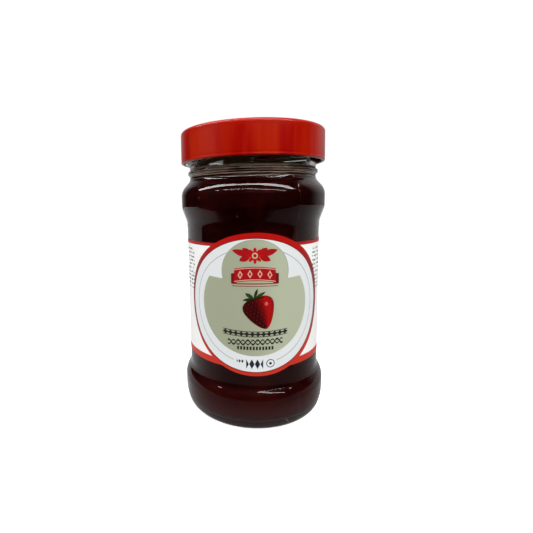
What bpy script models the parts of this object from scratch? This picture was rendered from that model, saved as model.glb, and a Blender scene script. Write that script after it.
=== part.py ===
"""A sealed glass jar of strawberry jam with a twist-off metal lid and a paper label.

Metres, +Z up. The origin is the middle of the circle that the jar stands on, and the front of
the label faces -Y. Run it with: blender --background --python part.py
"""

import math

import bmesh
import bpy

# Every turned piece has the same number of sides, so that nested walls stay parallel.
SIDES = 48
ARC_STEP = math.radians(30)
CLEARANCE = 0.0003

# Glass, outside: radii.
WAIST_RADIUS = 0.03090
BASE_RADIUS = 0.03350
SHOULDER_RADIUS = 0.03315
NECK_RADIUS = 0.02895
BEAD_RADIUS = 0.02985
FOOT_INNER_RADIUS = 0.0270
FOOT_OUTER_RADIUS = 0.02942
PUSH_UP_RADIUS = 0.0240

# Glass, outside: heights at which the straight runs would meet if nothing were rounded.
PUSH_UP_Z = 0.0012
PUSH_UP_EDGE_Z = 0.0009
HEEL_Z = 0.01007
BASE_CORNER_Z = 0.01540
WAIST_LOWER_Z = 0.01895
WAIST_UPPER_Z = 0.08749
SHOULDER_LOWER_Z = 0.09390
SHOULDER_UPPER_Z = 0.10160
NECK_Z = 0.10630
BEAD_LOWER_Z = 0.1082
BEAD_FACE_LOWER_Z = 0.1090
BEAD_FACE_UPPER_Z = 0.1100
BEAD_UPPER_Z = 0.1108
RIM_Z = 0.1270

# Glass, outside: how far each of those corners is rounded.
PUSH_UP_ROUND = 0.0120
BASE_ROUND = 0.0083
WAIST_LOWER_ROUND = 0.0048
WAIST_UPPER_ROUND = 0.0076
SHOULDER_LOWER_ROUND = 0.0070
SHOULDER_UPPER_ROUND = 0.0064
NECK_ROUND = 0.0034
BEAD_ROUND = 0.0004
RIM_ROUND = 0.0011
HEEL_STEPS = 6
HEEL_FULLNESS = 0.881

# Glass, inside.
WALL = 0.0024
FLOOR_Z = 0.0032
FLOOR_ROUND = 0.0050

# Thread lugs under the lid: short ridges that climb to the right, as heights above their foot
# and distances out from the neck.
LUGS = 4
LUG_START = math.radians(-92)
LUG_SWEEP = math.radians(60)
LUG_FADE = 0.15
LUG_FOOT_Z = 0.1122
LUG_CLIMB = 0.0020
LUG_SECTION = ((0.0, 0.0), (0.0011, 0.0020), (0.0020, 0.0020), (0.0031, 0.0))

# Jam.
JAM_LEVEL_Z = 0.1115

# Lid: the sheet is drawn thicker than the real tinplate.
LID_TOP_Z = 0.1278
LID_BOTTOM_Z = 0.1138
LID_RADIUS_TOP = 0.03270
LID_RADIUS_BOTTOM = 0.03283
LID_CORNER_ROUND = 0.0015
LID_SHEET = 0.0005
LID_PANEL_RADIUS = 0.0252
LID_PANEL_DEPTH = 0.0010
LID_STEP_WIDTH = 0.0006
BUTTON_RADIUS = 0.0105
BUTTON_SLOPE_WIDTH = 0.0015
BUTTON_DEPTH = 0.0005
CURL_WIDTH = 0.0014
CURL_HEIGHT = 0.0013
CURL_FACE_HEIGHT = 0.0009
CURL_ROUND = 0.0005
GROOVE_DEPTH = 0.0002
GROOVE_HEIGHT = 0.0007

# Label: a band round the waist with an oval front that stands above and below it. Distances
# across it are measured round the glass from the front.
LABEL_THICKNESS = 0.0002
BAND_BOTTOM_Z = 0.0274
BAND_TOP_Z = 0.0799
OVAL_CENTRE_ARC = 0.0013
OVAL_CENTRE_Z = 0.0542
OVAL_HALF_WIDTH = 0.0330
OVAL_HALF_HEIGHT = 0.0300
SEAM_GAP = 0.0012
OVAL_COLUMNS = 24
BACK_COLUMNS = 40


def clear_scene():
    for obj in list(bpy.data.objects):
        bpy.data.objects.remove(obj, do_unlink=True)


def make_material(name, colour, roughness, transmission=0.0):
    material = bpy.data.materials.new(name)
    material.use_nodes = True
    shader = material.node_tree.nodes["Principled BSDF"]
    shader.inputs["Base Color"].default_value = (*colour, 1.0)
    shader.inputs["Roughness"].default_value = roughness
    shader.inputs["Metallic"].default_value = 0.0
    shader.inputs["Transmission Weight"].default_value = transmission
    material.diffuse_color = (*colour, 1.0)
    return material


def add_object(name, shape, material):
    """Turn a finished bmesh into a smooth-shaded object with its faces outwards."""
    bmesh.ops.remove_doubles(shape, verts=shape.verts, dist=1e-6)
    bmesh.ops.recalc_face_normals(shape, faces=shape.faces)
    mesh = bpy.data.meshes.new(name)
    shape.to_mesh(mesh)
    shape.free()
    mesh.materials.append(material)
    mesh.shade_smooth()
    mesh.set_sharp_from_angle(angle=math.radians(40))
    obj = bpy.data.objects.new(name, mesh)
    bpy.context.scene.collection.objects.link(obj)
    return obj


def inset(corners, distance):
    """Move an outline of (radius, height, round) corners to its left, keeping its walls parallel."""
    moved = []
    for index, (r, z, radius) in enumerate(corners):
        ways = []
        for start, end in ((index - 1, index), (index, index + 1)):
            if start < 0 or end == len(corners):
                continue
            across = corners[end][0] - corners[start][0]
            up = corners[end][1] - corners[start][1]
            length = math.hypot(across, up)
            ways.append((across / length, up / length))
        before, after = ways[0], ways[-1]
        shift = distance / (1 + before[0] * after[0] + before[1] * after[1])
        turns_left = before[0] * after[1] - before[1] * after[0] > 0
        moved.append((
            r - shift * (before[1] + after[1]),
            z + shift * (before[0] + after[0]),
            radius and radius + (-distance if turns_left else distance),
        ))
    return moved


def rounded(corners):
    """Replace each (radius, height, round) corner of an open outline with an arc."""
    outline = [corners[0][:2]]
    for before, (r, z, radius), after in zip(corners, corners[1:], corners[2:]):
        if radius == 0:
            outline.append((r, z))
            continue
        to_before = math.atan2(before[1] - z, before[0] - r)
        to_after = math.atan2(after[1] - z, after[0] - r)
        turn_angle = math.remainder(to_after - to_before, math.tau)
        middle = to_before + turn_angle / 2
        reach = radius / math.sin(abs(turn_angle) / 2)
        centre_r = r + reach * math.cos(middle)
        centre_z = z + reach * math.sin(middle)
        sweep = math.copysign(math.pi - abs(turn_angle), turn_angle)
        steps = max(2, math.ceil(abs(sweep) / ARC_STEP))
        for step in range(steps + 1):
            angle = middle + math.pi + sweep * (0.5 - step / steps)
            outline.append((centre_r + radius * math.cos(angle), centre_z + radius * math.sin(angle)))
    outline.append(corners[-1][:2])
    return outline


def turn(outline):
    """Spin an outline, whose ends lie on the axis, once round +Z."""
    shape = bmesh.new()
    verts = [shape.verts.new((r, 0.0, z)) for r, z in outline]
    edges = [shape.edges.new(pair) for pair in zip(verts, verts[1:])]
    bmesh.ops.spin(shape, geom=verts + edges, cent=(0, 0, 0), axis=(0, 0, 1),
                   angle=math.tau, steps=SIDES, use_merge=True)
    return shape


def side_corners():
    """The glass from the widest part of its base up to the neck."""
    return [
        (BASE_RADIUS, HEEL_Z, 0.0),
        (BASE_RADIUS, BASE_CORNER_Z, BASE_ROUND),
        (WAIST_RADIUS, WAIST_LOWER_Z, WAIST_LOWER_ROUND),
        (WAIST_RADIUS, WAIST_UPPER_Z, WAIST_UPPER_ROUND),
        (SHOULDER_RADIUS, SHOULDER_LOWER_Z, SHOULDER_LOWER_ROUND),
        (SHOULDER_RADIUS, SHOULDER_UPPER_Z, SHOULDER_UPPER_ROUND),
        (NECK_RADIUS, NECK_Z, NECK_ROUND),
        (NECK_RADIUS, BEAD_LOWER_Z, 0.0),
    ]


def inside_corners(gap, top_z):
    """The jar's inside, set in by a gap, from the middle of its floor up to a height."""
    wall = inset(side_corners(), WALL + gap)
    base_radius, neck_radius = wall[0][0], wall[-1][0]
    floor_z = FLOOR_Z + gap
    floor = [(0.0, floor_z, 0.0), (base_radius, floor_z, FLOOR_ROUND)]
    return floor + wall[1:-1] + [(neck_radius, top_z, 0.0)]


def heel_curve():
    """The full curve of the heel, from the foot out to the widest part of the base."""
    width = BASE_RADIUS - FOOT_OUTER_RADIUS
    for step in range(HEEL_STEPS + 1):
        angle = math.pi / 2 * step / HEEL_STEPS
        yield (FOOT_OUTER_RADIUS + width * math.sin(angle) ** HEEL_FULLNESS,
               HEEL_Z * (1 - math.cos(angle) ** HEEL_FULLNESS))


def raise_lugs(shape):
    """Push the neck's lug rows out and up into ridges, and leave them flat between two lugs."""
    for vert in shape.verts:
        if abs(math.hypot(vert.co.x, vert.co.y) - NECK_RADIUS) > 1e-5:
            continue
        for height, depth in LUG_SECTION:
            if abs(vert.co.z - LUG_FOOT_Z - height) > 1e-5:
                continue
            pitch = math.tau / LUGS
            along = (math.atan2(vert.co.y, vert.co.x) - LUG_START) % pitch
            part = along / LUG_SWEEP
            if part < 1:
                vert.co.z += LUG_CLIMB * part
                vert.co.xy *= 1 + depth * min(1, part / LUG_FADE, (1 - part) / LUG_FADE) / NECK_RADIUS
            else:
                vert.co.z += LUG_CLIMB * (pitch - along) / (pitch - LUG_SWEEP)
            break


def make_glass():
    under = rounded([
        (0.0, PUSH_UP_Z, 0.0),
        (PUSH_UP_RADIUS, PUSH_UP_EDGE_Z, PUSH_UP_ROUND),
        (FOOT_INNER_RADIUS, 0.0, 0.0),
    ])
    inner_radius = NECK_RADIUS - WALL
    lug_rows = [(NECK_RADIUS, LUG_FOOT_Z + height, 0.0) for height, _ in LUG_SECTION]
    side = rounded(side_corners()[:-1] + [
        (NECK_RADIUS, BEAD_LOWER_Z, 0.0),
        (BEAD_RADIUS, BEAD_FACE_LOWER_Z, BEAD_ROUND),
        (BEAD_RADIUS, BEAD_FACE_UPPER_Z, BEAD_ROUND),
        (NECK_RADIUS, BEAD_UPPER_Z, 0.0),
        *lug_rows,
        (NECK_RADIUS, RIM_Z, RIM_ROUND),
        (inner_radius, RIM_Z, RIM_ROUND),
        (inner_radius, NECK_Z, 0.0),
    ])
    inside = rounded(inside_corners(0.0, RIM_Z))
    outline = under + list(heel_curve()) + side[1:-1] + inside[-2::-1]
    shape = turn(outline)
    raise_lugs(shape)
    glass = make_material("clear glass", (0.82, 0.90, 0.86), 0.04, transmission=1.0)
    return add_object("jar_glass", shape, glass)


def make_jam():
    outline = rounded(inside_corners(CLEARANCE, JAM_LEVEL_Z)) + [(0.0, JAM_LEVEL_Z)]
    jam = make_material("strawberry jam", (0.10, 0.006, 0.008), 0.25)
    return add_object("jam", turn(outline), jam)


def make_lid():
    panel_z = LID_TOP_Z - LID_PANEL_DEPTH
    curl_top_z = LID_BOTTOM_Z + CURL_HEIGHT
    curl_inner_radius = LID_RADIUS_BOTTOM - CURL_WIDTH
    sheet = [
        (0.0, panel_z - BUTTON_DEPTH, 0.0),
        (BUTTON_RADIUS - BUTTON_SLOPE_WIDTH, panel_z - BUTTON_DEPTH, 0.0),
        (BUTTON_RADIUS, panel_z, 0.0),
        (LID_PANEL_RADIUS, panel_z, 0.0),
        (LID_PANEL_RADIUS + LID_STEP_WIDTH, LID_TOP_Z, 0.0),
        (LID_RADIUS_TOP, LID_TOP_Z, LID_CORNER_ROUND),
        (LID_RADIUS_BOTTOM, curl_top_z + GROOVE_HEIGHT, 0.0),
    ]
    curl = [
        (LID_RADIUS_BOTTOM - GROOVE_DEPTH, curl_top_z, 0.0),
        (LID_RADIUS_BOTTOM, LID_BOTTOM_Z + CURL_FACE_HEIGHT, 0.0),
        (LID_RADIUS_BOTTOM, LID_BOTTOM_Z, CURL_ROUND),
        (curl_inner_radius, LID_BOTTOM_Z, CURL_ROUND),
        (curl_inner_radius, curl_top_z, 0.0),
    ]
    underside = [corner[:2] for corner in rounded(inset(sheet, -LID_SHEET))]
    outline = rounded(sheet + curl) + underside[::-1]
    lacquer = make_material("red lacquer on tinplate", (0.40, 0.012, 0.004), 0.28)
    return add_object("lid", turn(outline), lacquer)


def label_edges(arc):
    """Lowest and highest point of the label at a distance round the jar from the front."""
    across = (arc - OVAL_CENTRE_ARC) / OVAL_HALF_WIDTH
    rise = OVAL_HALF_HEIGHT * math.sqrt(max(0.0, 1.0 - across * across))
    return min(BAND_BOTTOM_Z, OVAL_CENTRE_Z - rise), max(BAND_TOP_Z, OVAL_CENTRE_Z + rise)


def label_columns():
    """Distances round the jar, close together over the oval's caps and wide elsewhere."""
    cap_rise = (BAND_TOP_Z - OVAL_CENTRE_Z) / OVAL_HALF_HEIGHT
    cap = OVAL_HALF_WIDTH * math.sqrt(1.0 - cap_rise ** 2)
    seam = math.pi * WAIST_RADIUS - SEAM_GAP / 2
    stops = (-seam, OVAL_CENTRE_ARC - cap, OVAL_CENTRE_ARC + cap, seam)
    for start, end, count in zip(stops, stops[1:], (BACK_COLUMNS // 2, OVAL_COLUMNS, BACK_COLUMNS // 2)):
        yield from (start + (end - start) * step / count for step in range(count))
    yield seam


def make_label():
    inner = WAIST_RADIUS + CLEARANCE
    outer = inner + LABEL_THICKNESS
    shape = bmesh.new()
    columns = []
    for arc in label_columns():
        angle = arc / WAIST_RADIUS
        x, y = outer * math.sin(angle), -outer * math.cos(angle)
        columns.append([shape.verts.new((x, y, z)) for z in label_edges(arc)])
    for left, right in zip(columns, columns[1:]):
        shape.faces.new((left[0], right[0], right[1], left[1]))
    skin = bmesh.ops.extrude_face_region(shape, geom=list(shape.faces))
    for item in skin["geom"]:
        if isinstance(item, bmesh.types.BMVert):
            item.co.xy *= inner / outer
    paper = make_material("printed paper", (0.86, 0.85, 0.80), 0.45)
    return add_object("label", shape, paper)


clear_scene()
make_glass()
make_jam()
make_lid()
make_label()
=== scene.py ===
"""A jar of strawberry jam: clear glass, dark jam, a red lacquered lid and a printed paper label.

Metres, +Z up, the front of the label faces -Y.
"""

import math

import bmesh
import bpy
from mathutils import Matrix, Vector


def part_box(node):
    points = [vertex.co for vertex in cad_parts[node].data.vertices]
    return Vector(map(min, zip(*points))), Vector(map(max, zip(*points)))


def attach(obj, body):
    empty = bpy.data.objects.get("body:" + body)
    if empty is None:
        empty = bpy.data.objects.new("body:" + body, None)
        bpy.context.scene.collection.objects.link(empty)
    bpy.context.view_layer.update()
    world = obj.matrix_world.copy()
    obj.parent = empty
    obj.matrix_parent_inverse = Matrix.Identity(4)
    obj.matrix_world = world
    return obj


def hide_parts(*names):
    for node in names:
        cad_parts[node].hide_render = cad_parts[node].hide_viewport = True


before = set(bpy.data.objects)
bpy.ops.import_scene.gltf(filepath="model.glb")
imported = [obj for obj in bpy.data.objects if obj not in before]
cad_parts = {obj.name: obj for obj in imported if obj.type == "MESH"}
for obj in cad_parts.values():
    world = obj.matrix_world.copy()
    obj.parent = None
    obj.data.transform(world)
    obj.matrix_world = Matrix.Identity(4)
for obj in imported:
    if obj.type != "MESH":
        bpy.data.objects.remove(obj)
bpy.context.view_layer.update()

MM = 0.001

# How finely the turned pieces are made, which edges stay sharp, and how near two points are one.
SIDES = 192
ARC_STEP = math.radians(3)
SHARP_ANGLE = math.radians(35)
SAME_PLACE = 1e-6

# Glass, outside: radii, and the heights at which its straight runs would meet if nothing were
# rounded. The widest radius and the rim come from the frame.
glass_low, glass_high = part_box("jar_glass")
BASE_RADIUS = (glass_high[0] - glass_low[0]) / 2
RIM_Z = glass_high[2]
WAIST_RADIUS = 30.90 * MM
SHOULDER_RADIUS = 33.15 * MM
NECK_RADIUS = 28.95 * MM
BEAD_RADIUS = 29.85 * MM
FOOT_INNER_RADIUS = 27.0 * MM
FOOT_OUTER_RADIUS = 29.42 * MM
PUSH_UP_RADIUS = 24.0 * MM
PUSH_UP_Z = 1.2 * MM
PUSH_UP_EDGE_Z = 0.9 * MM
HEEL_Z = 10.07 * MM
BASE_CORNER_Z = 15.40 * MM
WAIST_LOWER_Z = 18.95 * MM
WAIST_UPPER_Z = 87.49 * MM
SHOULDER_LOWER_Z = 93.90 * MM
SHOULDER_UPPER_Z = 101.60 * MM
NECK_Z = 106.30 * MM
BEAD_LOWER_Z = 108.1 * MM
BEAD_FACE_LOWER_Z = 109.0 * MM
BEAD_FACE_UPPER_Z = 110.0 * MM
BEAD_UPPER_Z = 110.9 * MM

PUSH_UP_ROUND = 12.0 * MM
FOOT_ROUND = 0.4 * MM
BASE_ROUND = 8.3 * MM
WAIST_LOWER_ROUND = 4.8 * MM
WAIST_UPPER_ROUND = 7.6 * MM
SHOULDER_LOWER_ROUND = 7.0 * MM
SHOULDER_UPPER_ROUND = 6.4 * MM
NECK_ROUND = 3.4 * MM
BEAD_ROUND = 0.6 * MM
RIM_ROUND = 1.1 * MM
HEEL_STEPS = 24
HEEL_FULLNESS = 0.881

# Glass, inside, and how far the jam reaches into the glass.
WALL = 2.4 * MM
FLOOR_Z = 3.2 * MM
FLOOR_ROUND = 5.0 * MM
JAM_IN_GLASS = 0.15 * MM
JAM_TOP_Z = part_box("jam")[1][2]
JAM_CLIMB = 0.9 * MM
# Height and strength of each painted line of light round the neck, where light through the glass bead
# and neck falls on the jam.
NECK_LIGHT_LINES = ((JAM_TOP_Z - 0.3 * MM, 0.9), (110.0 * MM, 0.8), (108.3 * MM, 0.9), (106.6 * MM, 0.4))

# Colours of the glass and the jam, as linear light.
GLASS_TINT = (0.93, 0.965, 0.95, 1.0)
JELLY_DARK = (0.020, 0.0006, 0.0005, 1.0)
JELLY_LIGHT = (0.036, 0.0016, 0.0010, 1.0)
# Painted light: the jam's heel is redder where light from the pale floor comes in through the glass
# base.
JELLY_FLOOR_LIT = (0.060, 0.0030, 0.0022, 1.0)
JAM_SEED = (0.065, 0.022, 0.009, 1.0)
# The neck's tint, streaks and lines below are painted light, where light through the neck glass and
# its bead falls on the jam.
NECK_LIGHT_TINT = (0.060, 0.026, 0.018, 1.0)
NECK_LIGHT_STREAK = (0.34, 0.24, 0.19, 1.0)
NECK_LIGHT_LINE = (0.72, 0.51, 0.39, 1.0)

# Thread lugs.
LUGS = 4
LUG_START = math.radians(-92)
LUG_SWEEP = math.radians(60)
LUG_FADE = 0.15
LUG_RAMP = 0.36
LUG_FOOT_Z = 112.2 * MM
LUG_HEIGHT = 3.1 * MM
LUG_DEPTH = 2.0 * MM
LUG_CLIMB = 2.0 * MM
LUG_ROWS = 14

# Paper and glue, and how far the lapped end stands off.
PAPER = 0.10 * MM
GLUE = 0.02 * MM
LAP_LIFT = 1.6 * PAPER

# Label: a band round the waist with an oval front, in millimetres on the flat paper, measured
# from the front and from the ground.
BAND_BOTTOM, BAND_TOP = 27.4, 79.9
BAND_LINE_BOTTOM, BAND_LINE_TOP = 30.3, 78.45
OVAL_CENTRE = (1.35, 54.24)
OVAL_SIZE = (32.95, 30.04)
SEAM_OVERLAP = 6.0
LAP_RAMP = 2.0
PAPER_COLUMNS = 280
PAPER_ROWS = 12

# The table top and the strip lights over it.
FLOOR_SIZE = 2.4
FLOOR_FRONT = -0.118
STRIP_LENGTH = 3.9
STRIP_HEIGHT = 1.1
STRIP_TURN = math.radians(-14)

# What the soft lamps aim at, and plain white and grey.
JAR_MIDDLE = (0.0, 0.0, 0.06)
WHITE = (1.0, 1.0, 1.0, 1.0)
PALE_GREY = (0.9, 0.9, 0.9, 1.0)

# The photograph's camera.
CAMERA_DISTANCE = 170.65 * MM
CAMERA_HEIGHT = 96.36 * MM
CAMERA_YAW = math.radians(-5.28)
CAMERA_PITCH = math.radians(8.02)
CAMERA_ROLL = math.radians(-1.05)
CAMERA_FOCAL_PX = 353.7
CAMERA_CENTRE_PX = (220.0, 252.2)
PICTURE_PX = 533
SENSOR_MM = 36.0


def srgb(red, green, blue):
    """A colour given as 0 to 255, as it is seen, turned into linear light."""
    def linear(value):
        value /= 255
        return value / 12.92 if value <= 0.04045 else ((value + 0.055) / 1.055) ** 2.4
    return linear(red), linear(green), linear(blue), 1.0


class Field:
    """A number that varies over a surface, so that nodes can be written as sums."""

    def __init__(self, tree, socket):
        self.tree = tree
        self.socket = socket

    def math(self, operation, *others):
        node = self.tree.nodes.new("ShaderNodeMath")
        node.operation = operation
        for socket, value in zip(node.inputs, (self, *others)):
            if isinstance(value, Field):
                self.tree.links.new(value.socket, socket)
            else:
                socket.default_value = value
        return Field(self.tree, node.outputs[0])

    def __add__(self, other):
        return self.math("ADD", other)

    def __sub__(self, other):
        return self.math("SUBTRACT", other)

    def __mul__(self, other):
        return self.math("MULTIPLY", other)

    def __truediv__(self, other):
        return self.math("DIVIDE", other)

    def __pow__(self, other):
        return self.math("POWER", other)

    def __abs__(self):
        return self.math("ABSOLUTE")

    def __and__(self, other):
        return self.math("MINIMUM", other)

    def __or__(self, other):
        return self.math("MAXIMUM", other)

    def below(self, other):
        return self.math("LESS_THAN", other)

    def above(self, other):
        return self.math("GREATER_THAN", other)

    def within(self, low, high):
        return self.above(low) & self.below(high)

    def repeated(self, pitch):
        """Distance to the nearest of many marks that stand a pitch apart."""
        return abs((self / pitch).math("FRACT") - 0.5) * pitch

    def fade(self, start, end, low=0.0, high=1.0):
        """Goes smoothly from low to high as this goes from start to end."""
        node = self.tree.nodes.new("ShaderNodeMapRange")
        node.interpolation_type = "SMOOTHSTEP"
        self.tree.links.new(self.socket, node.inputs["Value"])
        for name, value in zip(("From Min", "From Max", "To Min", "To Max"), (start, end, low, high)):
            node.inputs[name].default_value = value
        return Field(self.tree, node.outputs["Result"])


def new_material(name):
    material = bpy.data.materials.new(name)
    material.use_nodes = True
    tree = material.node_tree
    return material, tree, tree.nodes["Principled BSDF"]


def coordinates(tree, output):
    """The object or UV coordinates, as a vector socket and three fields."""
    source = tree.nodes.new("ShaderNodeTexCoord")
    split = tree.nodes.new("ShaderNodeSeparateXYZ")
    tree.links.new(source.outputs[output], split.inputs[0])
    return source.outputs[output], [Field(tree, socket) for socket in split.outputs]


def noise(tree, vector, scale, detail=2.0):
    node = tree.nodes.new("ShaderNodeTexNoise")
    tree.links.new(vector, node.inputs["Vector"])
    node.inputs["Scale"].default_value = scale
    node.inputs["Detail"].default_value = detail
    return Field(tree, node.outputs["Fac"])


def stretched(tree, vector, scale):
    node = tree.nodes.new("ShaderNodeMapping")
    node.inputs["Scale"].default_value = scale
    tree.links.new(vector, node.inputs["Vector"])
    return node.outputs["Vector"]


def mix(tree, mask, under, over):
    """One colour over another where the mask is 1. A colour is a value or a socket."""
    node = tree.nodes.new("ShaderNodeMix")
    node.data_type = "RGBA"
    tree.links.new(mask.socket, node.inputs["Factor"])
    for name, colour in (("A", under), ("B", over)):
        socket = next(s for s in node.inputs if s.name == name and s.type == "RGBA")
        if isinstance(colour, bpy.types.NodeSocket):
            tree.links.new(colour, socket)
        else:
            socket.default_value = colour
    return next(s for s in node.outputs if s.type == "RGBA")


def bump(tree, shader, height, distance):
    node = tree.nodes.new("ShaderNodeBump")
    node.inputs["Strength"].default_value = 1.0
    node.inputs["Distance"].default_value = distance
    tree.links.new(height.socket, node.inputs["Height"])
    tree.links.new(node.outputs["Normal"], shader.inputs["Normal"])


def inset(corners, distance):
    """Move an outline of (radius, height, round) corners to its left, keeping its walls parallel."""
    moved = []
    for index, (r, z, radius) in enumerate(corners):
        ways = []
        for start, end in ((index - 1, index), (index, index + 1)):
            if start < 0 or end == len(corners):
                continue
            across = corners[end][0] - corners[start][0]
            up = corners[end][1] - corners[start][1]
            length = math.hypot(across, up)
            ways.append((across / length, up / length))
        before, after = ways[0], ways[-1]
        shift = distance / (1 + before[0] * after[0] + before[1] * after[1])
        turns_left = before[0] * after[1] - before[1] * after[0] > 0
        moved.append((
            r - shift * (before[1] + after[1]),
            z + shift * (before[0] + after[0]),
            radius and radius + (-distance if turns_left else distance),
        ))
    return moved


def rounded(corners):
    """Replace each (radius, height, round) corner of an open outline with an arc."""
    outline = [corners[0][:2]]
    for before, (r, z, radius), after in zip(corners, corners[1:], corners[2:]):
        if radius == 0:
            outline.append((r, z))
            continue
        to_before = math.atan2(before[1] - z, before[0] - r)
        to_after = math.atan2(after[1] - z, after[0] - r)
        turn_angle = math.remainder(to_after - to_before, math.tau)
        middle = to_before + turn_angle / 2
        reach = radius / math.sin(abs(turn_angle) / 2)
        centre_r = r + reach * math.cos(middle)
        centre_z = z + reach * math.sin(middle)
        sweep = math.copysign(math.pi - abs(turn_angle), turn_angle)
        steps = max(2, math.ceil(abs(sweep) / ARC_STEP))
        for step in range(steps + 1):
            angle = middle + math.pi + sweep * (0.5 - step / steps)
            outline.append((centre_r + radius * math.cos(angle), centre_z + radius * math.sin(angle)))
    outline.append(corners[-1][:2])
    return outline


def turn(outline):
    """Spin an outline, whose ends lie on the axis, once round +Z."""
    shape = bmesh.new()
    verts = [shape.verts.new((r, 0.0, z)) for r, z in outline]
    edges = [shape.edges.new(pair) for pair in zip(verts, verts[1:])]
    bmesh.ops.spin(shape, geom=verts + edges, cent=(0, 0, 0), axis=(0, 0, 1),
                   angle=math.tau, steps=SIDES, use_merge=True)
    return shape


def add_piece(name, shape, material, slot, *nodes):
    """Finish a bmesh as a smooth piece of the jar that stands for the named nodes."""
    bmesh.ops.remove_doubles(shape, verts=shape.verts, dist=SAME_PLACE)
    bmesh.ops.recalc_face_normals(shape, faces=shape.faces)
    mesh = bpy.data.meshes.new(name)
    shape.to_mesh(mesh)
    shape.free()
    mesh.materials.append(material)
    mesh.shade_smooth()
    mesh.set_sharp_from_angle(angle=SHARP_ANGLE)
    piece = bpy.data.objects.new(name, mesh)
    bpy.context.scene.collection.objects.link(piece)
    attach(piece, "root")
    if nodes:
        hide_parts(*nodes)
    return piece


def side_corners():
    """The glass from the widest part of its base up to the neck."""
    return [
        (BASE_RADIUS, HEEL_Z, 0.0),
        (BASE_RADIUS, BASE_CORNER_Z, BASE_ROUND),
        (WAIST_RADIUS, WAIST_LOWER_Z, WAIST_LOWER_ROUND),
        (WAIST_RADIUS, WAIST_UPPER_Z, WAIST_UPPER_ROUND),
        (SHOULDER_RADIUS, SHOULDER_LOWER_Z, SHOULDER_LOWER_ROUND),
        (SHOULDER_RADIUS, SHOULDER_UPPER_Z, SHOULDER_UPPER_ROUND),
        (NECK_RADIUS, NECK_Z, NECK_ROUND),
        (NECK_RADIUS, BEAD_LOWER_Z, 0.0),
    ]


def inside_corners(gap, top_z):
    """The jar's inside, set in by a gap, from the middle of its floor up to a height."""
    wall = inset(side_corners(), WALL + gap)
    base_radius, neck_radius = wall[0][0], wall[-1][0]
    floor_z = FLOOR_Z + gap
    floor = [(0.0, floor_z, 0.0), (base_radius, floor_z, FLOOR_ROUND)]
    return floor + wall[1:-1] + [(neck_radius, top_z, 0.0)]


def heel_curve():
    """The full curve of the heel, from the foot out to the widest part of the base."""
    width = BASE_RADIUS - FOOT_OUTER_RADIUS
    for step in range(1, HEEL_STEPS + 1):
        angle = math.pi / 2 * step / HEEL_STEPS
        yield (FOOT_OUTER_RADIUS + width * math.sin(angle) ** HEEL_FULLNESS,
               HEEL_Z * (1 - math.cos(angle) ** HEEL_FULLNESS))


def lug_depth(height):
    """How far a lug stands out, from 0 to 1, at a height from 0 to 1 above its foot."""
    lower = min(1.0, height / LUG_RAMP)
    upper = min(1.0, (1.0 - height) / LUG_RAMP)
    ramp = min(lower, upper)
    return ramp * ramp * (3 - 2 * ramp)


def raise_lugs(shape):
    """Push the neck's lug rows out and up into ridges, and leave them flat between two lugs."""
    pitch = math.tau / LUGS
    slack = 1e-4
    for vert in shape.verts:
        height = (vert.co.z - LUG_FOOT_Z) / LUG_HEIGHT
        radius = math.hypot(vert.co.x, vert.co.y)
        if abs(radius - NECK_RADIUS) > SAME_PLACE or not -slack < height < 1 + slack:
            continue
        along = (math.atan2(vert.co.y, vert.co.x) - LUG_START) % pitch
        part = along / LUG_SWEEP
        if part < 1:
            end = min(1.0, part / LUG_FADE, (1 - part) / LUG_FADE)
            stands = LUG_DEPTH * lug_depth(height) * math.sin(end * math.pi / 2)
            vert.co.z += LUG_CLIMB * part
            vert.co.xy *= 1 + stands / radius
        else:
            vert.co.z += LUG_CLIMB * (pitch - along) / (pitch - LUG_SWEEP)


def glass_finish():
    """Clear glass, very slightly wavy, with a fine mould line up each side."""
    material, tree, shader = new_material("clear_glass")
    shader.inputs["Base Color"].default_value = GLASS_TINT
    shader.inputs["Roughness"].default_value = 0.0
    shader.inputs["IOR"].default_value = 1.5
    shader.inputs["Transmission Weight"].default_value = 1.0
    wave_scale, wave_stretch, wave_height = 80.0, (1.0, 1.0, 2.0), 0.10 * MM
    seam_turn, seam_half_width, seam_share = math.radians(35), 0.30 * MM, 0.6
    vector, (x, y, _) = coordinates(tree, "Object")
    waves = noise(tree, stretched(tree, vector, wave_stretch), wave_scale, detail=0.0)
    across = abs(x * math.cos(seam_turn) + y * math.sin(seam_turn))
    seam = across.fade(0.0, seam_half_width, 1.0, 0.0)
    bump(tree, shader, waves + seam * seam_share, wave_height)
    return material


def make_glass():
    under = rounded([
        (0.0, PUSH_UP_Z, 0.0),
        (PUSH_UP_RADIUS, PUSH_UP_EDGE_Z, PUSH_UP_ROUND),
        (FOOT_INNER_RADIUS, 0.0, FOOT_ROUND),
        (FOOT_OUTER_RADIUS, 0.0, 0.0),
    ])
    inner_radius = NECK_RADIUS - WALL
    lug_rows = [(NECK_RADIUS, LUG_FOOT_Z + LUG_HEIGHT * row / LUG_ROWS, 0.0)
                for row in range(LUG_ROWS + 1)]
    side = rounded(side_corners()[:-1] + [
        (NECK_RADIUS, BEAD_LOWER_Z, BEAD_ROUND),
        (BEAD_RADIUS, BEAD_FACE_LOWER_Z, BEAD_ROUND),
        (BEAD_RADIUS, BEAD_FACE_UPPER_Z, BEAD_ROUND),
        (NECK_RADIUS, BEAD_UPPER_Z, BEAD_ROUND),
        *lug_rows,
        (NECK_RADIUS, RIM_Z, RIM_ROUND),
        (inner_radius, RIM_Z, RIM_ROUND),
        (inner_radius, NECK_Z, 0.0),
    ])
    inside = rounded(inside_corners(0.0, RIM_Z))
    shape = turn(under + list(heel_curve()) + side[1:-1] + inside[-2::-1])
    raise_lugs(shape)
    return add_piece("glass_body", shape, glass_finish(), "clear_glass", "jar_glass")


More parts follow.
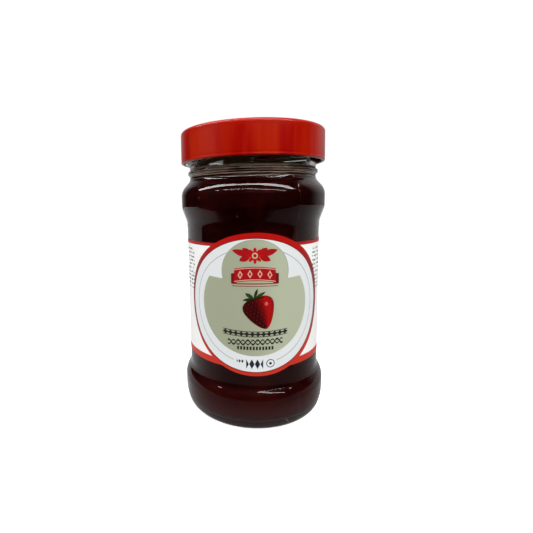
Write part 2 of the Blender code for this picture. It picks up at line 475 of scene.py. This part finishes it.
def jam_finish():
    """Dark red jelly with a few dim seeds; painted light makes it redder in the heel, and paler at
    its top edge with painted streaks and lines of light from the neck glass.
    """
    fruit_scale, cell_scale, streak_scale, wobble_scale = 80.0, 190.0, 900.0, 60.0
    heel_z, heel_full_z = 20.0 * MM, 5.0 * MM
    fruit_range, streak_range = (0.40, 0.70), (0.46, 0.64)
    seed_radius, seed_edge, empty_cells = 0.10, 0.15, 0.90
    neck_light_start_z, neck_light_full_z = JAM_TOP_Z - 6.0 * MM, JAM_TOP_Z - 2.5 * MM
    tint_share, streak_share, streak_stretch = 0.7, 0.45, (0.1, 0.1, 1.0)
    line_half_width, line_edge, wobble_height = 0.14 * MM, 0.40 * MM, 1.2 * MM

    material, tree, shader = new_material("strawberry_jam")
    vector, (_, _, z) = coordinates(tree, "Object")
    fruit = noise(tree, vector, fruit_scale, detail=3.0).fade(*fruit_range)
    colour = mix(tree, fruit, JELLY_DARK, JELLY_LIGHT)
    # Painted light from the pale floor through the glass base makes the heel redder.
    colour = mix(tree, z.fade(heel_z, heel_full_z), colour, JELLY_FLOOR_LIT)

    cells = tree.nodes.new("ShaderNodeTexVoronoi")
    cells.inputs["Scale"].default_value = cell_scale
    tree.links.new(vector, cells.inputs["Vector"])
    chance = tree.nodes.new("ShaderNodeSeparateColor")
    tree.links.new(cells.outputs["Color"], chance.inputs["Color"])
    seeds = Field(tree, cells.outputs["Distance"]).fade(seed_radius, seed_edge, 1.0, 0.0)
    seeds = seeds & Field(tree, chance.outputs["Red"]).above(empty_cells)
    colour = mix(tree, seeds, colour, JAM_SEED)

    # Painted light: near its top the jam is paler, streaked and lined where light through the neck
    # glass and its bead falls on it.
    neck_light = z.fade(neck_light_start_z, neck_light_full_z)
    streaks = noise(tree, stretched(tree, vector, streak_stretch), streak_scale).fade(*streak_range)
    colour = mix(tree, neck_light * tint_share, colour, NECK_LIGHT_TINT)
    colour = mix(tree, neck_light * streaks * streak_share, colour, NECK_LIGHT_STREAK)
    wobble = noise(tree, vector, wobble_scale) * wobble_height - wobble_height / 2
    for line_z, strength in NECK_LIGHT_LINES:
        line = abs(z + wobble - line_z).fade(line_half_width, line_edge, strength, 0.0)
        colour = mix(tree, line, colour, NECK_LIGHT_LINE)

    tree.links.new(colour, shader.inputs["Base Color"])
    shader.inputs["Roughness"].default_value = 0.35
    shader.inputs["IOR"].default_value = 1.10
    return material


def make_jam():
    """The jam fills the glass to its level and climbs a little at the wall."""
    edge_width, climb_width, climb_round = 0.25 * MM, 1.3 * MM, 1.2 * MM
    corners = inside_corners(-JAM_IN_GLASS, JAM_TOP_Z)
    wall_radius = corners[-1][0]
    level_z = JAM_TOP_Z - JAM_CLIMB
    shape = turn(rounded(corners + [
        (wall_radius - edge_width, JAM_TOP_Z, 0.0),
        (wall_radius - climb_width, level_z, climb_round),
        (0.0, level_z, 0.0),
    ]))
    return add_piece("jam_fill", shape, jam_finish(), "strawberry_jam", "jam")


def label_edges(arc):
    """Lowest and highest point of the paper, in millimetres, at a distance from the front."""
    across = (arc - OVAL_CENTRE[0]) / OVAL_SIZE[0]
    rise = OVAL_SIZE[1] * math.sqrt(max(0.0, 1.0 - across * across))
    return min(BAND_BOTTOM, OVAL_CENTRE[1] - rise), max(BAND_TOP, OVAL_CENTRE[1] + rise)


class Print:
    """The label's flat paper in millimetres, painted one field of colour over another."""

    def __init__(self, tree, width, low, high):
        vector, (u, v, _) = coordinates(tree, "UV")
        self.tree = tree
        self.vector = vector
        self.u = u * width - width / 2
        self.v = v * (high - low) + low
        self.colour = WHITE_PAPER

    def paint(self, mask, colour):
        self.colour = mix(self.tree, mask, self.colour, colour)

    def oval(self, centre, size):
        """Less than 1 inside an oval."""
        return ((self.u - centre[0]) / size[0]) ** 2.0 + ((self.v - centre[1]) / size[1]) ** 2.0

    def turned(self, centre, angle):
        """The paper's coordinates from a centre, turned by an angle."""
        u, v = self.u - centre[0], self.v - centre[1]
        cos, sin = math.cos(angle), math.sin(angle)
        return u * cos + v * sin, v * cos - u * sin


# Inks, as they are seen.
WHITE_PAPER = srgb(252, 251, 249)
OVAL_WHITE = srgb(230, 233, 233)
PRINT_RED = srgb(186, 14, 8)
WARM_RED = srgb(204, 52, 36)
MAROON = srgb(132, 28, 34)
DEEP_RED = srgb(166, 14, 20)
DARK_RED = srgb(112, 10, 16)
EDGE_RED = srgb(118, 14, 16)
RULE_RED = srgb(140, 40, 32)
PALE_RED = srgb(214, 176, 156)
HEM_RED = srgb(222, 176, 158)
SAGE = srgb(182, 188, 162)
SHADED_SAGE = srgb(165, 169, 144)
SAGE_EDGE = srgb(160, 166, 146)
HAIRLINE_GREY = srgb(140, 150, 156)
INK = srgb(34, 34, 30)
BLUE_INK = srgb(28, 34, 46)
PALE_BLUE_INK = srgb(44, 50, 62)
GREY_INK = srgb(84, 88, 90)

# The berry's inks.
BERRY_SHADE = srgb(54, 0, 3)
BERRY_DARK = srgb(122, 0, 5)
BERRY_RED = srgb(172, 8, 12)
BERRY_EDGE = srgb(124, 8, 12)
BERRY_SHINE = srgb(226, 112, 108)
BERRY_PIT = srgb(70, 2, 6)
BERRY_SEED = srgb(200, 110, 70)
LEAF_DARK = srgb(24, 40, 14)
LEAF_BROAD = srgb(36, 62, 26)
LEAF_TOP = srgb(30, 50, 20)
LEAF_LONG = srgb(36, 58, 20)
LEAF_BROWN = srgb(40, 22, 10)
LEAF_BUD = srgb(34, 18, 8)

# The print's middle line, and the ovals in it, each a centre and its half sizes on the paper.
PRINT_MIDDLE = 1.0
INNER_OVAL = (0.92, 53.93), (31.17, 27.89)
HAIRLINE_OVAL = (1.0, 53.95), (27.74, 24.47)
SAGE_OVAL = (0.87, 54.29), (23.95, 21.3)
DISC = (1.1, 68.5), (13.8, 12.8)
DISC_EDGE = (1.1, 68.5), (14.1, 13.1)


def paint_side_rows(sheet):
    """Fine grey ticks in rows on the white band, beside the oval and at the back."""
    row_pitch, tick_half_height = 1.75, 0.42
    tick_scale, tick_stretch, tick_start = 170.0, (1.0, 0.35, 0.0), 0.50
    low_v, high_v = 58.0, 76.5
    beside_oval, at_back = (30.0, 38.5), (52.0, 84.0)
    broken = noise(sheet.tree, stretched(sheet.tree, sheet.vector, tick_stretch), tick_scale)
    rows = sheet.v.repeated(row_pitch).below(tick_half_height)
    ticks = rows & broken.above(tick_start) & sheet.v.within(low_v, high_v)
    sides = abs(sheet.u).within(*beside_oval) | abs(sheet.u).within(*at_back)
    sheet.paint(ticks & sides, GREY_INK)


def paint_frame(sheet):
    """White band between two red lines, and a white oval in a red ring over it."""
    line_edge_low, line_edge_high = 0.25, 0.35
    red_v, warm_v = (66.0, 80.0), (48.0, 32.0)
    ring_reach, ring_edge_reach = 1.01, 1.028
    hairline_reach, hairline_gap = 0.982, 9.0
    sheet.paint(sheet.v.above(BAND_LINE_TOP), MAROON)
    sheet.paint(sheet.v.within(BAND_LINE_TOP + line_edge_low, BAND_TOP - line_edge_high), PRINT_RED)
    sheet.paint(sheet.v.below(BAND_LINE_BOTTOM), WARM_RED)
    ring = mix(sheet.tree, sheet.v.fade(*red_v), MAROON, PRINT_RED)
    ring = mix(sheet.tree, sheet.v.fade(*warm_v), ring, WARM_RED)
    sheet.paint(sheet.oval(OVAL_CENTRE, OVAL_SIZE).below(ring_reach), ring)
    inner = sheet.oval(*INNER_OVAL)
    sheet.paint(inner.below(ring_edge_reach), EDGE_RED)
    sheet.paint(inner.below(1.0), OVAL_WHITE)
    hairline = sheet.oval(*HAIRLINE_OVAL).within(hairline_reach, 1.0)
    sheet.paint(hairline & abs(sheet.u - PRINT_MIDDLE).above(hairline_gap), HAIRLINE_GREY)


def paint_sage(sheet):
    """The sage field with its cut top, and the round field that stands in the cut."""
    cut_v, cut_slope = 64.6, 0.06
    light_u = -4.0, 13.0
    over_cut = sheet.v - (abs(sheet.u - PRINT_MIDDLE) * cut_slope + cut_v)
    field = sheet.oval(*SAGE_OVAL).below(1.0) & over_cut.below(0.0)
    disc = sheet.oval(*DISC).below(1.0)
    edge = sheet.oval(*DISC_EDGE).below(1.0)
    sheet.paint(edge & over_cut.above(0.0), SAGE_EDGE)
    sheet.paint(field | disc, mix(sheet.tree, sheet.u.fade(*light_u), SHADED_SAGE, SAGE))


def paint_leaf(sheet, foot, angle, length, width, colour):
    """One pointed leaf, from its foot outwards, with its greatest half width in the middle."""
    along, across = sheet.turned(foot, math.radians(angle))
    along = along / length
    half = along * (along * -1.0 + 1.0) * (4.0 * width)
    sheet.paint((abs(across) - half).below(0.0) & along.within(0.0, 1.0), colour)


def paint_rosette(sheet):
    """A rosette between two sprays of three leaves."""
    height, foot_gap, leaf_width = 75.1, 1.6, 1.3
    leaf_angles_and_lengths = (16, 8.0), (-24, 5.2), (42, 4.6)
    for angle, length in leaf_angles_and_lengths:
        right_foot = (PRINT_MIDDLE + foot_gap, height)
        left_foot = (PRINT_MIDDLE - foot_gap, height)
        paint_leaf(sheet, right_foot, angle, length, leaf_width, DEEP_RED)
        paint_leaf(sheet, left_foot, 180 - angle, length, leaf_width, DEEP_RED)
    petal_waves, petal_length, bud_radius, eye_radius, core_radius = 4.0, 1.6, 1.7, 1.2, 0.7
    p, q = sheet.turned((PRINT_MIDDLE, height), 0.0)
    reach = (p * p + q * q) ** 0.5
    petals = abs((p.math("ARCTAN2", q) * petal_waves).math("COSINE"))
    sheet.paint((reach - petals * petal_length).below(bud_radius), PRINT_RED)
    sheet.paint(reach.below(eye_radius), SAGE)
    sheet.paint(reach.below(core_radius), DEEP_RED)


def paint_ribbon(sheet):
    """A bowed ribbon with lozenges, its two folded ends, and two fine rules under it."""
    height, bow = 67.7, 0.012
    half_width, half_height, hem_at, hem_half_height = 8.5, 2.9, 2.4, 0.15
    end_start, end_stop, end_drop, end_half_height = 7.4, 9.8, 1.0, 2.1
    u = sheet.u - PRINT_MIDDLE
    ribbon = sheet.v - height + u * u * bow
    ends = abs(u).within(end_start, end_stop) & abs(ribbon + end_drop).below(end_half_height)
    sheet.paint(ends, DARK_RED)
    body = abs(u).below(half_width) & abs(ribbon).below(half_height)
    sheet.paint(body, DEEP_RED)
    sheet.paint(body & abs(abs(ribbon) - hem_at).below(hem_half_height), HEM_RED)

    pitch, across_slope, up_slope, lozenge_size, core_size = 4.0, 1.25, 0.75, 1.3, 0.7
    lozenge = u.repeated(pitch) * across_slope + abs(ribbon) * up_slope
    sheet.paint(body & lozenge.below(lozenge_size), PALE_RED)
    sheet.paint(body & lozenge.below(core_size), PRINT_RED)

    rule_half_length = 9.4
    (upper_v, upper_half_height), (lower_v, lower_half_height) = (63.6, 0.24), (62.6, 0.16)
    upper = abs(sheet.v - upper_v).below(upper_half_height)
    lower = abs(sheet.v - lower_v).below(lower_half_height)
    sheet.paint((upper | lower) & abs(u).below(rule_half_length), RULE_RED)


def berry_skin(sheet, p, q, side):
    """Dark on the left, red on the right and dark again at that edge, with rows of sunk seeds."""
    shade_side, red_side, edge_side = (-0.20, 0.35), (0.20, 0.55), (0.80, 1.0)
    skin = mix(sheet.tree, side.fade(*shade_side), BERRY_SHADE, BERRY_DARK)
    skin = mix(sheet.tree, side.fade(*red_side), skin, BERRY_RED)
    skin = mix(sheet.tree, side.fade(*edge_side), skin, BERRY_EDGE)

    shine_centre, shine_size = (5.6, 55.3), (0.8, 0.9)
    shine_start, shine_end, shine_share = 0.1, 1.4, 0.75
    shine = sheet.oval(shine_centre, shine_size).fade(shine_start, shine_end, shine_share, 0.0)
    skin = mix(sheet.tree, shine, skin, BERRY_SHINE)

    seed_pitch, row_pitch, narrow, short = 1.7, 1.5, 4.8, 3.2
    seed_reach, pit_reach, seed_share, pit_share = 0.4, 1.6, 0.12, 0.30
    odd_row = ((q / row_pitch).math("FLOOR") / 2.0).math("FRACT") * 2.0
    cell_p = (p / seed_pitch + odd_row * 0.5).math("FRACT") - 0.5
    cell_q = (q / row_pitch).math("FRACT") - 0.5
    seed = (cell_p * narrow) ** 2.0 + (cell_q * short) ** 2.0
    skin = mix(sheet.tree, seed.within(seed_reach, pit_reach) * pit_share, skin, BERRY_PIT)
    return mix(sheet.tree, seed.below(seed_reach) * seed_share, skin, BERRY_SEED)


def paint_berry(sheet):
    """A strawberry: a body that narrows to its tip, and a crown of leaves."""
    middle, lean = (3.3, 51.4), math.radians(20)
    length, half_width, tip_power, top_power = 14.2, 8.9, 0.6, 5.0
    least_along, least_half = 0.0001, 0.01
    tip_q = -length / 2
    p, q = sheet.turned(middle, lean)
    along = ((q - tip_q) / length) & 1.0 | least_along
    half = along ** tip_power * ((along ** top_power) * -1.0 + 1.0) ** 0.5 * half_width
    body = (abs(p) - half).below(0.0) & q.within(tip_q, tip_q + length)
    sheet.paint(body, berry_skin(sheet, p, q, p / (half | least_half)))

    crown = (0.56, 57.4)
    for angle, leaf_length, width, green in (
        (188, 4.8, 0.62, LEAF_DARK),
        (147, 4.3, 0.80, LEAF_BROAD),
        (71, 4.5, 0.60, LEAF_TOP),
        (32, 5.6, 0.62, LEAF_LONG),
        (10, 4.8, 0.42, LEAF_BROWN),
        (205, 2.4, 0.50, LEAF_BUD),
    ):
        paint_leaf(sheet, crown, angle, leaf_length, width, green)


def paint_chain(sheet, u):
    """A bowed chain of lozenges between two fine bars, with a third through its middle."""
    height, bow, half_length, pitch, slope = 42.4, 0.0035, 13.8, 2.3, 0.85
    middle_half_height, edge_at, edge_half_height = 0.32, 1.05, 0.16
    row = sheet.v - height - u * u * bow
    links = (u.repeated(pitch) + abs(row) * slope).below(1.0)
    bars = abs(row).below(middle_half_height) | abs(abs(row) - edge_at).below(edge_half_height)
    sheet.paint((links | bars) & abs(u).below(half_length), INK)


def paint_braid(sheet, u):
    """Two waved strands that cross, one thicker than the other."""
    height, slope, half_length, waves, rise = 39.0, 0.03, 11.6, 1.55, 0.95
    thick_half_height, thin_half_height = 0.42, 0.30
    row = sheet.v - height - u * slope
    wave = (u * waves).math("SINE") * rise
    strands = abs(row - wave).below(thick_half_height) | abs(row + wave).below(thin_half_height)
    sheet.paint(strands & abs(u).below(half_length), INK)


def paint_blocks(sheet, u):
    """A short row of upright bars."""
    height, half_height, half_length, pitch, half_width = 36.4, 0.75, 7.8, 1.3, 0.42
    blocks = u.repeated(pitch).below(half_width) & abs(sheet.v - height).below(half_height)
    sheet.paint(blocks & abs(u).below(half_length), INK)


def paint_foot(sheet, u):
    """Bold lozenges at the foot of the oval, a ring to their right and small ones to their left."""
    height = 29.5
    row = sheet.v - height
    bold_u, bold_pitch, bold_half_length, bold_slope, bold_size = -0.3, 2.35, 3.52, 0.52, 1.10
    bold = (u - bold_u).repeated(bold_pitch) + abs(row) * bold_slope
    sheet.paint(bold.below(bold_size) & abs(u - bold_u).below(bold_half_length), BLUE_INK)

    ring_centre, ring_radius, ring_hole, dot_radius = (7.3, 29.7), 1.8, 0.66, 0.6
    ring = sheet.oval(ring_centre, (ring_radius, ring_radius)).within(ring_hole, 1.0)
    sheet.paint(ring, BLUE_INK)
    sheet.paint(sheet.oval(ring_centre, (dot_radius, dot_radius)).below(1.0), BLUE_INK)

    small_u, small_pitch, small_rise, small_slope, small_size = (-7.8, -4.7), 1.2, 1.1, 0.7, 0.55
    small = u.repeated(small_pitch) + abs(row - small_rise) * small_slope
    sheet.paint(small.below(small_size) & u.within(*small_u), PALE_BLUE_INK)


def paint_rules(sheet):
    """The ornamental rules under the berry, from the highest to the lowest."""
    u = sheet.u - PRINT_MIDDLE
    paint_chain(sheet, u)
    paint_braid(sheet, u)
    paint_blocks(sheet, u)
    paint_foot(sheet, u)


def label_finish(width, low, high):
    """Coated paper with its print."""
    fibre_scale, fibre_share, ripple_scale, relief = 2600.0, 0.12, 60.0, 0.04 * MM
    material, tree, shader = new_material("printed_paper")
    sheet = Print(tree, width, low, high)
    paint_side_rows(sheet)
    paint_frame(sheet)
    paint_sage(sheet)
    paint_rosette(sheet)
    paint_ribbon(sheet)
    paint_berry(sheet)
    paint_rules(sheet)
    tree.links.new(sheet.colour, shader.inputs["Base Color"])
    shader.inputs["Roughness"].default_value = 0.42
    shader.inputs["IOR"].default_value = 1.4
    object_vector, _ = coordinates(tree, "Object")
    fibre = noise(tree, object_vector, fibre_scale, detail=3.0)
    ripple = noise(tree, object_vector, ripple_scale, detail=1.0)
    bump(tree, shader, fibre * fibre_share + ripple, relief)
    return material


def make_label():
    """The paper is cut and printed flat, then wrapped round the glass with its ends lapped."""
    radius = WAIST_RADIUS + GLUE
    width = math.tau * radius / MM + SEAM_OVERLAP
    low, high = label_edges(OVAL_CENTRE[0])
    shape = bmesh.new()
    bmesh.ops.create_grid(shape, x_segments=PAPER_COLUMNS, y_segments=PAPER_ROWS, size=0.5)
    flat = shape.loops.layers.uv.new("print")
    for vert in shape.verts:
        arc = vert.co.x * width
        bottom, top = label_edges(arc)
        vert.co = (arc, bottom + (top - bottom) * (vert.co.y + 0.5), 0.0)
    for face in shape.faces:
        for loop in face.loops:
            u, v, _ = loop.vert.co
            loop[flat].uv = (u / width + 0.5, (v - low) / (high - low))
    bmesh.ops.solidify(shape, geom=shape.faces[:], thickness=PAPER / MM)
    lap_start = width / 2 - SEAM_OVERLAP - LAP_RAMP
    for vert in shape.verts:
        arc, z, out = vert.co
        lift = LAP_LIFT / MM * min(1.0, max(0.0, (arc - lap_start) / LAP_RAMP))
        reach = radius + (abs(out) + lift) * MM
        angle = arc * MM / radius
        vert.co = (reach * math.sin(angle), -reach * math.cos(angle), z * MM)
    return add_piece("paper_label", shape, label_finish(width, low, high), "printed_paper", "label")


# Lacquers, as they are seen.
# The lacquer's dark and light reds and its streak red carry painted soft reflections of the room.
LACQUER_DARK = srgb(154, 4, 0)
LACQUER_LIGHT = srgb(172, 28, 0)
LACQUER_REFLECTION_STREAK = srgb(178, 42, 0)
GOLD_LACQUER = srgb(176, 150, 104)


def lid_finish(skirt_radius, curl_top_z, panel_z):
    """Gloss red lacquer on tinplate, with a trace of orange peel, painted soft reflections of the
    room in blotches and streaks on the skirt, and gold lacquer inside.
    """
    blotch_scale, blotch_stretch, blotch_range = 85.0, (1.0, 1.0, 0.12), (0.38, 0.64)
    streak_scale, streak_stretch, streak_range = 420.0, (1.0, 1.0, 0.05), (0.50, 0.80)
    top_share, streak_share = 0.12, 0.5
    peel_scale, peel_share, blotch_relief_share, relief = 900.0, 0.06, 0.5, 0.03 * MM
    inner_radius = skirt_radius - 0.3 * MM
    gold_top_z = panel_z - 0.75 * MM
    skirt_end_z, top_start_z = panel_z - 2.5 * MM, panel_z - 0.5 * MM

    material, tree, shader = new_material("red_lacquer")
    vector, (x, y, z) = coordinates(tree, "Object")
    # Painted reflections of the room: soft blotches and fine upright streaks on the skirt, with
    # little of them on the top.
    blotch = noise(tree, stretched(tree, vector, blotch_stretch), blotch_scale)
    skirt = z.fade(skirt_end_z, top_start_z, 1.0, top_share)
    reflection_blotches = (blotch.fade(*blotch_range) - 0.5) * skirt + 0.5
    colour = mix(tree, reflection_blotches, LACQUER_DARK, LACQUER_LIGHT)
    streak = noise(tree, stretched(tree, vector, streak_stretch), streak_scale, detail=1.0)
    streak = streak.fade(*streak_range) * skirt * streak_share
    colour = mix(tree, streak, colour, LACQUER_REFLECTION_STREAK)
    inside = (x * x + y * y).below(inner_radius ** 2) & z.within(curl_top_z, gold_top_z)
    colour = mix(tree, inside, colour, GOLD_LACQUER)
    tree.links.new(colour, shader.inputs["Base Color"])
    shader.inputs["Roughness"].default_value = 0.30
    shader.inputs["Specular IOR Level"].default_value = 0.18
    shader.inputs["Coat Weight"].default_value = 0.22
    shader.inputs["Coat Roughness"].default_value = 0.08
    peel = noise(tree, vector, peel_scale)
    bump(tree, shader, peel * peel_share + blotch * blotch_relief_share, relief)
    return material


def make_lid():
    """One sheet from the button in the middle to the skirt, whose lower edge is rolled in."""
    low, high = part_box("lid")
    top_z, bottom_z = high[2], low[2]
    skirt_radius = (high[0] - low[0]) / 2
    top_radius = skirt_radius - 0.13 * MM
    sheet_thickness = 0.5 * MM
    panel_radius, panel_z, panel_round = 25.2 * MM, top_z - 1.0 * MM, 0.3 * MM
    button_radius, button_z, button_round = 10.5 * MM, top_z - 1.5 * MM, 1.0 * MM
    button_slope, ring_slope = 1.5 * MM, 0.6 * MM
    ring_round, edge_round, skirt_round = 0.5 * MM, 1.5 * MM, 0.5 * MM
    curl_top_z, curl_face_z = bottom_z + 1.3 * MM, bottom_z + 0.8 * MM
    skirt_end_z = curl_top_z + 0.7 * MM
    groove_depth, groove_round, curl_upper_round = 0.06 * MM, 0.5 * MM, 0.3 * MM
    curl_outer_round, curl_inner_round = 0.65 * MM, 0.5 * MM
    curl_inner_radius = skirt_radius - 1.4 * MM
    sheet = [
        (0.0, button_z, 0.0),
        (button_radius - button_slope, button_z, button_round),
        (button_radius, panel_z, button_round),
        (panel_radius, panel_z, panel_round),
        (panel_radius + ring_slope, top_z, ring_round),
        (top_radius, top_z, edge_round),
        (skirt_radius, skirt_end_z, skirt_round),
    ]
    curl = [
        (skirt_radius - groove_depth, curl_top_z, groove_round),
        (skirt_radius, curl_face_z, curl_upper_round),
        (skirt_radius, bottom_z, curl_outer_round),
        (curl_inner_radius, bottom_z, curl_inner_round),
        (curl_inner_radius, curl_top_z, 0.0),
    ]
    underside = inset([(r, z, 0.0) for r, z, _ in sheet], -sheet_thickness)
    shape = turn(rounded(sheet + curl) + [(r, z) for r, z, _ in reversed(underside)])
    finish = lid_finish(skirt_radius, curl_top_z, panel_z)
    return add_piece("lid_shell", shape, finish, "red_lacquer", "lid")


def make_camera():
    data = bpy.data.cameras.new("photo_camera")
    camera = bpy.data.objects.new("photo_camera", data)
    bpy.context.scene.collection.objects.link(camera)
    bpy.context.scene.camera = camera
    data.sensor_width = SENSOR_MM
    data.lens = SENSOR_MM * CAMERA_FOCAL_PX / PICTURE_PX
    data.shift_x = 0.5 - CAMERA_CENTRE_PX[0] / PICTURE_PX
    data.shift_y = CAMERA_CENTRE_PX[1] / PICTURE_PX - 0.5
    data.clip_start = 0.01
    forward = Vector((
        math.sin(CAMERA_YAW) * math.cos(CAMERA_PITCH),
        math.cos(CAMERA_YAW) * math.cos(CAMERA_PITCH),
        -math.sin(CAMERA_PITCH),
    ))
    right = Vector((math.cos(CAMERA_YAW), -math.sin(CAMERA_YAW), 0.0))
    up = right.cross(forward)
    side = right * math.cos(CAMERA_ROLL) + up * math.sin(CAMERA_ROLL)
    top = up * math.cos(CAMERA_ROLL) - right * math.sin(CAMERA_ROLL)
    turned = Matrix((side, top, -forward)).transposed().to_4x4()
    camera.matrix_world = Matrix.Translation((0.0, -CAMERA_DISTANCE, CAMERA_HEIGHT)) @ turned


def around(x, y):
    """How far a way points behind the jar and to its right, each from -1 to 1, and how long it is."""
    reach = (x * x + y * y) ** 0.5
    return y / reach, x / reach, reach


def make_floor():
    """A pale table top that mirrors in the glass only behind its front edge."""
    shape = bmesh.new()
    bmesh.ops.create_grid(shape, x_segments=1, y_segments=1, size=FLOOR_SIZE / 2)
    mesh = bpy.data.meshes.new("floor")
    shape.to_mesh(mesh)
    shape.free()
    material, tree, shader = new_material("pale_floor")
    shader.inputs["Base Color"].default_value = PALE_GREY
    shader.inputs["Roughness"].default_value = 0.8
    shader.inputs["Emission Color"].default_value = WHITE
    _, (x, y, _) = coordinates(tree, "Object")
    behind, right, reach = around(x, y)
    far_start, far_end, near_glow, far_glow = 0.15, 0.8, 0.5, 1.0
    seen_glow = reach.fade(far_start, far_end, near_glow, far_glow)
    tree.links.new(seen_glow.socket, shader.inputs["Emission Strength"])

    right_dims, front, back, front_glow, back_glow = 0.22, -0.9, 0.9, 0.12, 0.62
    foot_start, foot_end, foot_glow = 0.034, 0.060, 0.20
    edge_slope, edge_half_width = 0.2, 0.01
    glow = (behind - right * right_dims).fade(front, back, front_glow, back_glow)
    glow = glow + reach.fade(foot_start, foot_end, foot_glow, 0.0)
    edge = (y + x * edge_slope).fade(FLOOR_FRONT - edge_half_width, FLOOR_FRONT + edge_half_width)
    mirrored = tree.nodes.new("ShaderNodeEmission")
    tree.links.new((glow * edge).socket, mirrored.inputs["Strength"])
    rays = tree.nodes.new("ShaderNodeLightPath")
    either = tree.nodes.new("ShaderNodeMixShader")
    tree.links.new(rays.outputs["Is Camera Ray"], either.inputs["Fac"])
    tree.links.new(mirrored.outputs[0], either.inputs[1])
    tree.links.new(shader.outputs[0], either.inputs[2])
    tree.links.new(either.outputs[0], tree.nodes["Material Output"].inputs["Surface"])
    mesh.materials.append(material)
    floor = bpy.data.objects.new("floor", mesh)
    bpy.context.scene.collection.objects.link(floor)


def add_lamp(name, size, place, brightness, aim=JAR_MIDDLE, turned=0.0, mirrored=True,
             through_glass=True):
    """A flat lamp of a given size and brightness, aimed at a point."""
    data = bpy.data.lights.new(name, "AREA")
    data.shape = "RECTANGLE"
    data.size, data.size_y = size
    data.energy = brightness * math.pi * size[0] * size[1]
    lamp = bpy.data.objects.new(name, data)
    bpy.context.scene.collection.objects.link(lamp)
    lamp.location = place
    facing = (Vector(aim) - Vector(place)).to_track_quat("-Z", "Y").to_matrix()
    lamp.rotation_euler = (facing @ Matrix.Rotation(turned, 3, "Z")).to_euler()
    lamp.visible_glossy = mirrored
    lamp.visible_transmission = through_glass


def make_light():
    """Two long strips overhead, which the glass mirrors, and soft lamps that it doesn't mirror."""
    for name, x, y, width, brightness in (
        ("strip_over_jar", -0.15, -0.18, 0.30, 9.0),
        ("strip_in_front", 0.30, -1.25, 0.15, 7.0),
    ):
        add_lamp(name, (STRIP_LENGTH, width), (x, y, STRIP_HEIGHT), brightness,
                 aim=(x, y, 0.0), turned=STRIP_TURN)
    add_lamp("fill_right", (0.9, 0.5), (0.3, -0.9, 0.75), 7.0, mirrored=False)
    add_lamp("fill_left", (0.5, 0.5), (-0.8, -0.3, 0.35), 3.0, mirrored=False)
    for name, x in (("left_edge", -0.75), ("right_edge", 0.75)):
        add_lamp(name, (0.4, 0.6), (x, 0.35, 0.25), 1.0, mirrored=False, through_glass=False)


def make_room():
    """A pale wall behind the jar and a dim room elsewhere, while the camera itself sees white."""
    right_share, wall_start, wall_full = 0.25, 0.35, 0.85
    foot, middle, foot_glow, middle_glow = -0.05, 0.35, 0.30, 0.55
    wall_top, wall_end = 0.65, 0.80
    backdrop = 1.02
    world = bpy.data.worlds.new("studio")
    bpy.context.scene.world = world
    world.use_nodes = True
    tree = world.node_tree
    _, (x, y, z) = coordinates(tree, "Generated")
    behind, right, _ = around(x, y)
    wall = (behind + right * right_share).fade(wall_start, wall_full)
    wall = wall * z.fade(foot, middle, foot_glow, middle_glow) * z.fade(wall_top, wall_end, 1.0, 0.0)
    rays = tree.nodes.new("ShaderNodeLightPath")
    seen = Field(tree, rays.outputs["Is Camera Ray"])
    tree.links.new((wall | seen * backdrop).socket, tree.nodes["Background"].inputs["Strength"])
    tree.nodes["Background"].inputs["Color"].default_value = WHITE
    bpy.context.scene.view_settings.view_transform = "Standard"


make_camera()
make_floor()
make_light()
make_room()
make_glass()
make_jam()
make_lid()
make_label()
